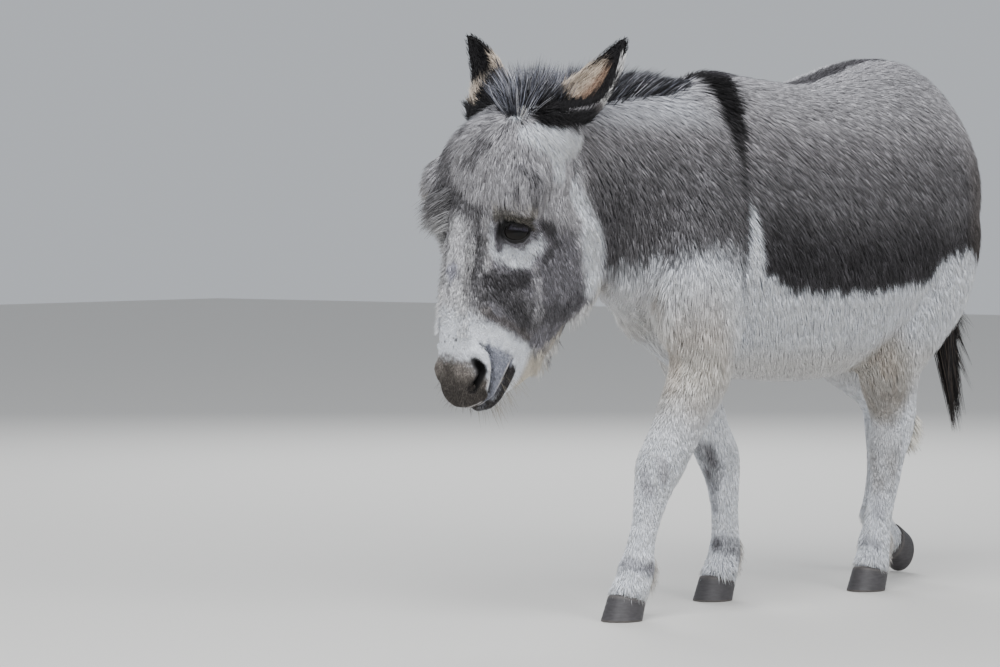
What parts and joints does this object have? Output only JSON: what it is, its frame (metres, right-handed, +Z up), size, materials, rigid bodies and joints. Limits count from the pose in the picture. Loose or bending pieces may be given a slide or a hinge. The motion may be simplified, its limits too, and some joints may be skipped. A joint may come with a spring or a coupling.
{
  "type": "donkey",
  "caption": "Life-size still model of a small grey-dun donkey in its winter coat, walking with its head low, with white legs, belly and muzzle and a dark shoulder cross",
  "frame": {"origin": "centre of the bounding box in plan, at floor level", "axes": "+Z up, the donkey faces -Y, its left side is +X"},
  "size_m": [0.4485, 1.2949, 0.9305],
  "materials": {
    "head": "soft matte hair",
    "neck": "soft matte hair",
    "trunk": "soft matte hair",
    "mane": "coarse upright hair",
    "tail": "soft matte hair",
    "tail_tuft": "long coarse hair",
    "ear_left": "soft matte hair",
    "eye_left": "wet gloss",
    "leg_fore_left": "soft matte hair",
    "hoof_fore_left": "dull horn with fine rings",
    "leg_hind_left": "soft matte hair",
    "hoof_hind_left": "dull horn with fine rings",
    "ear_right": "soft matte hair",
    "eye_right": "wet gloss",
    "leg_fore_right": "soft matte hair",
    "hoof_fore_right": "dull horn with fine rings",
    "leg_hind_right": "soft matte hair",
    "hoof_hind_right": "dull horn with fine rings"
  },
  "bodies": {
    "root": {"head": "head", "neck": "neck", "trunk": "trunk", "mane": "mane", "tail": "tail", "tail_tuft": "tail_tuft", "ear_left": "ear_left", "eye_left": "eye_left", "leg_fore_left": "leg_fore_left", "hoof_fore_left": "hoof_fore_left", "leg_hind_left": "leg_hind_left", "hoof_hind_left": "hoof_hind_left", "ear_right": "ear_right", "eye_right": "eye_right", "leg_fore_right": "leg_fore_right", "hoof_fore_right": "hoof_fore_right", "leg_hind_right": "leg_hind_right", "hoof_hind_right": "hoof_hind_right"}
  },
  "joints": []
}
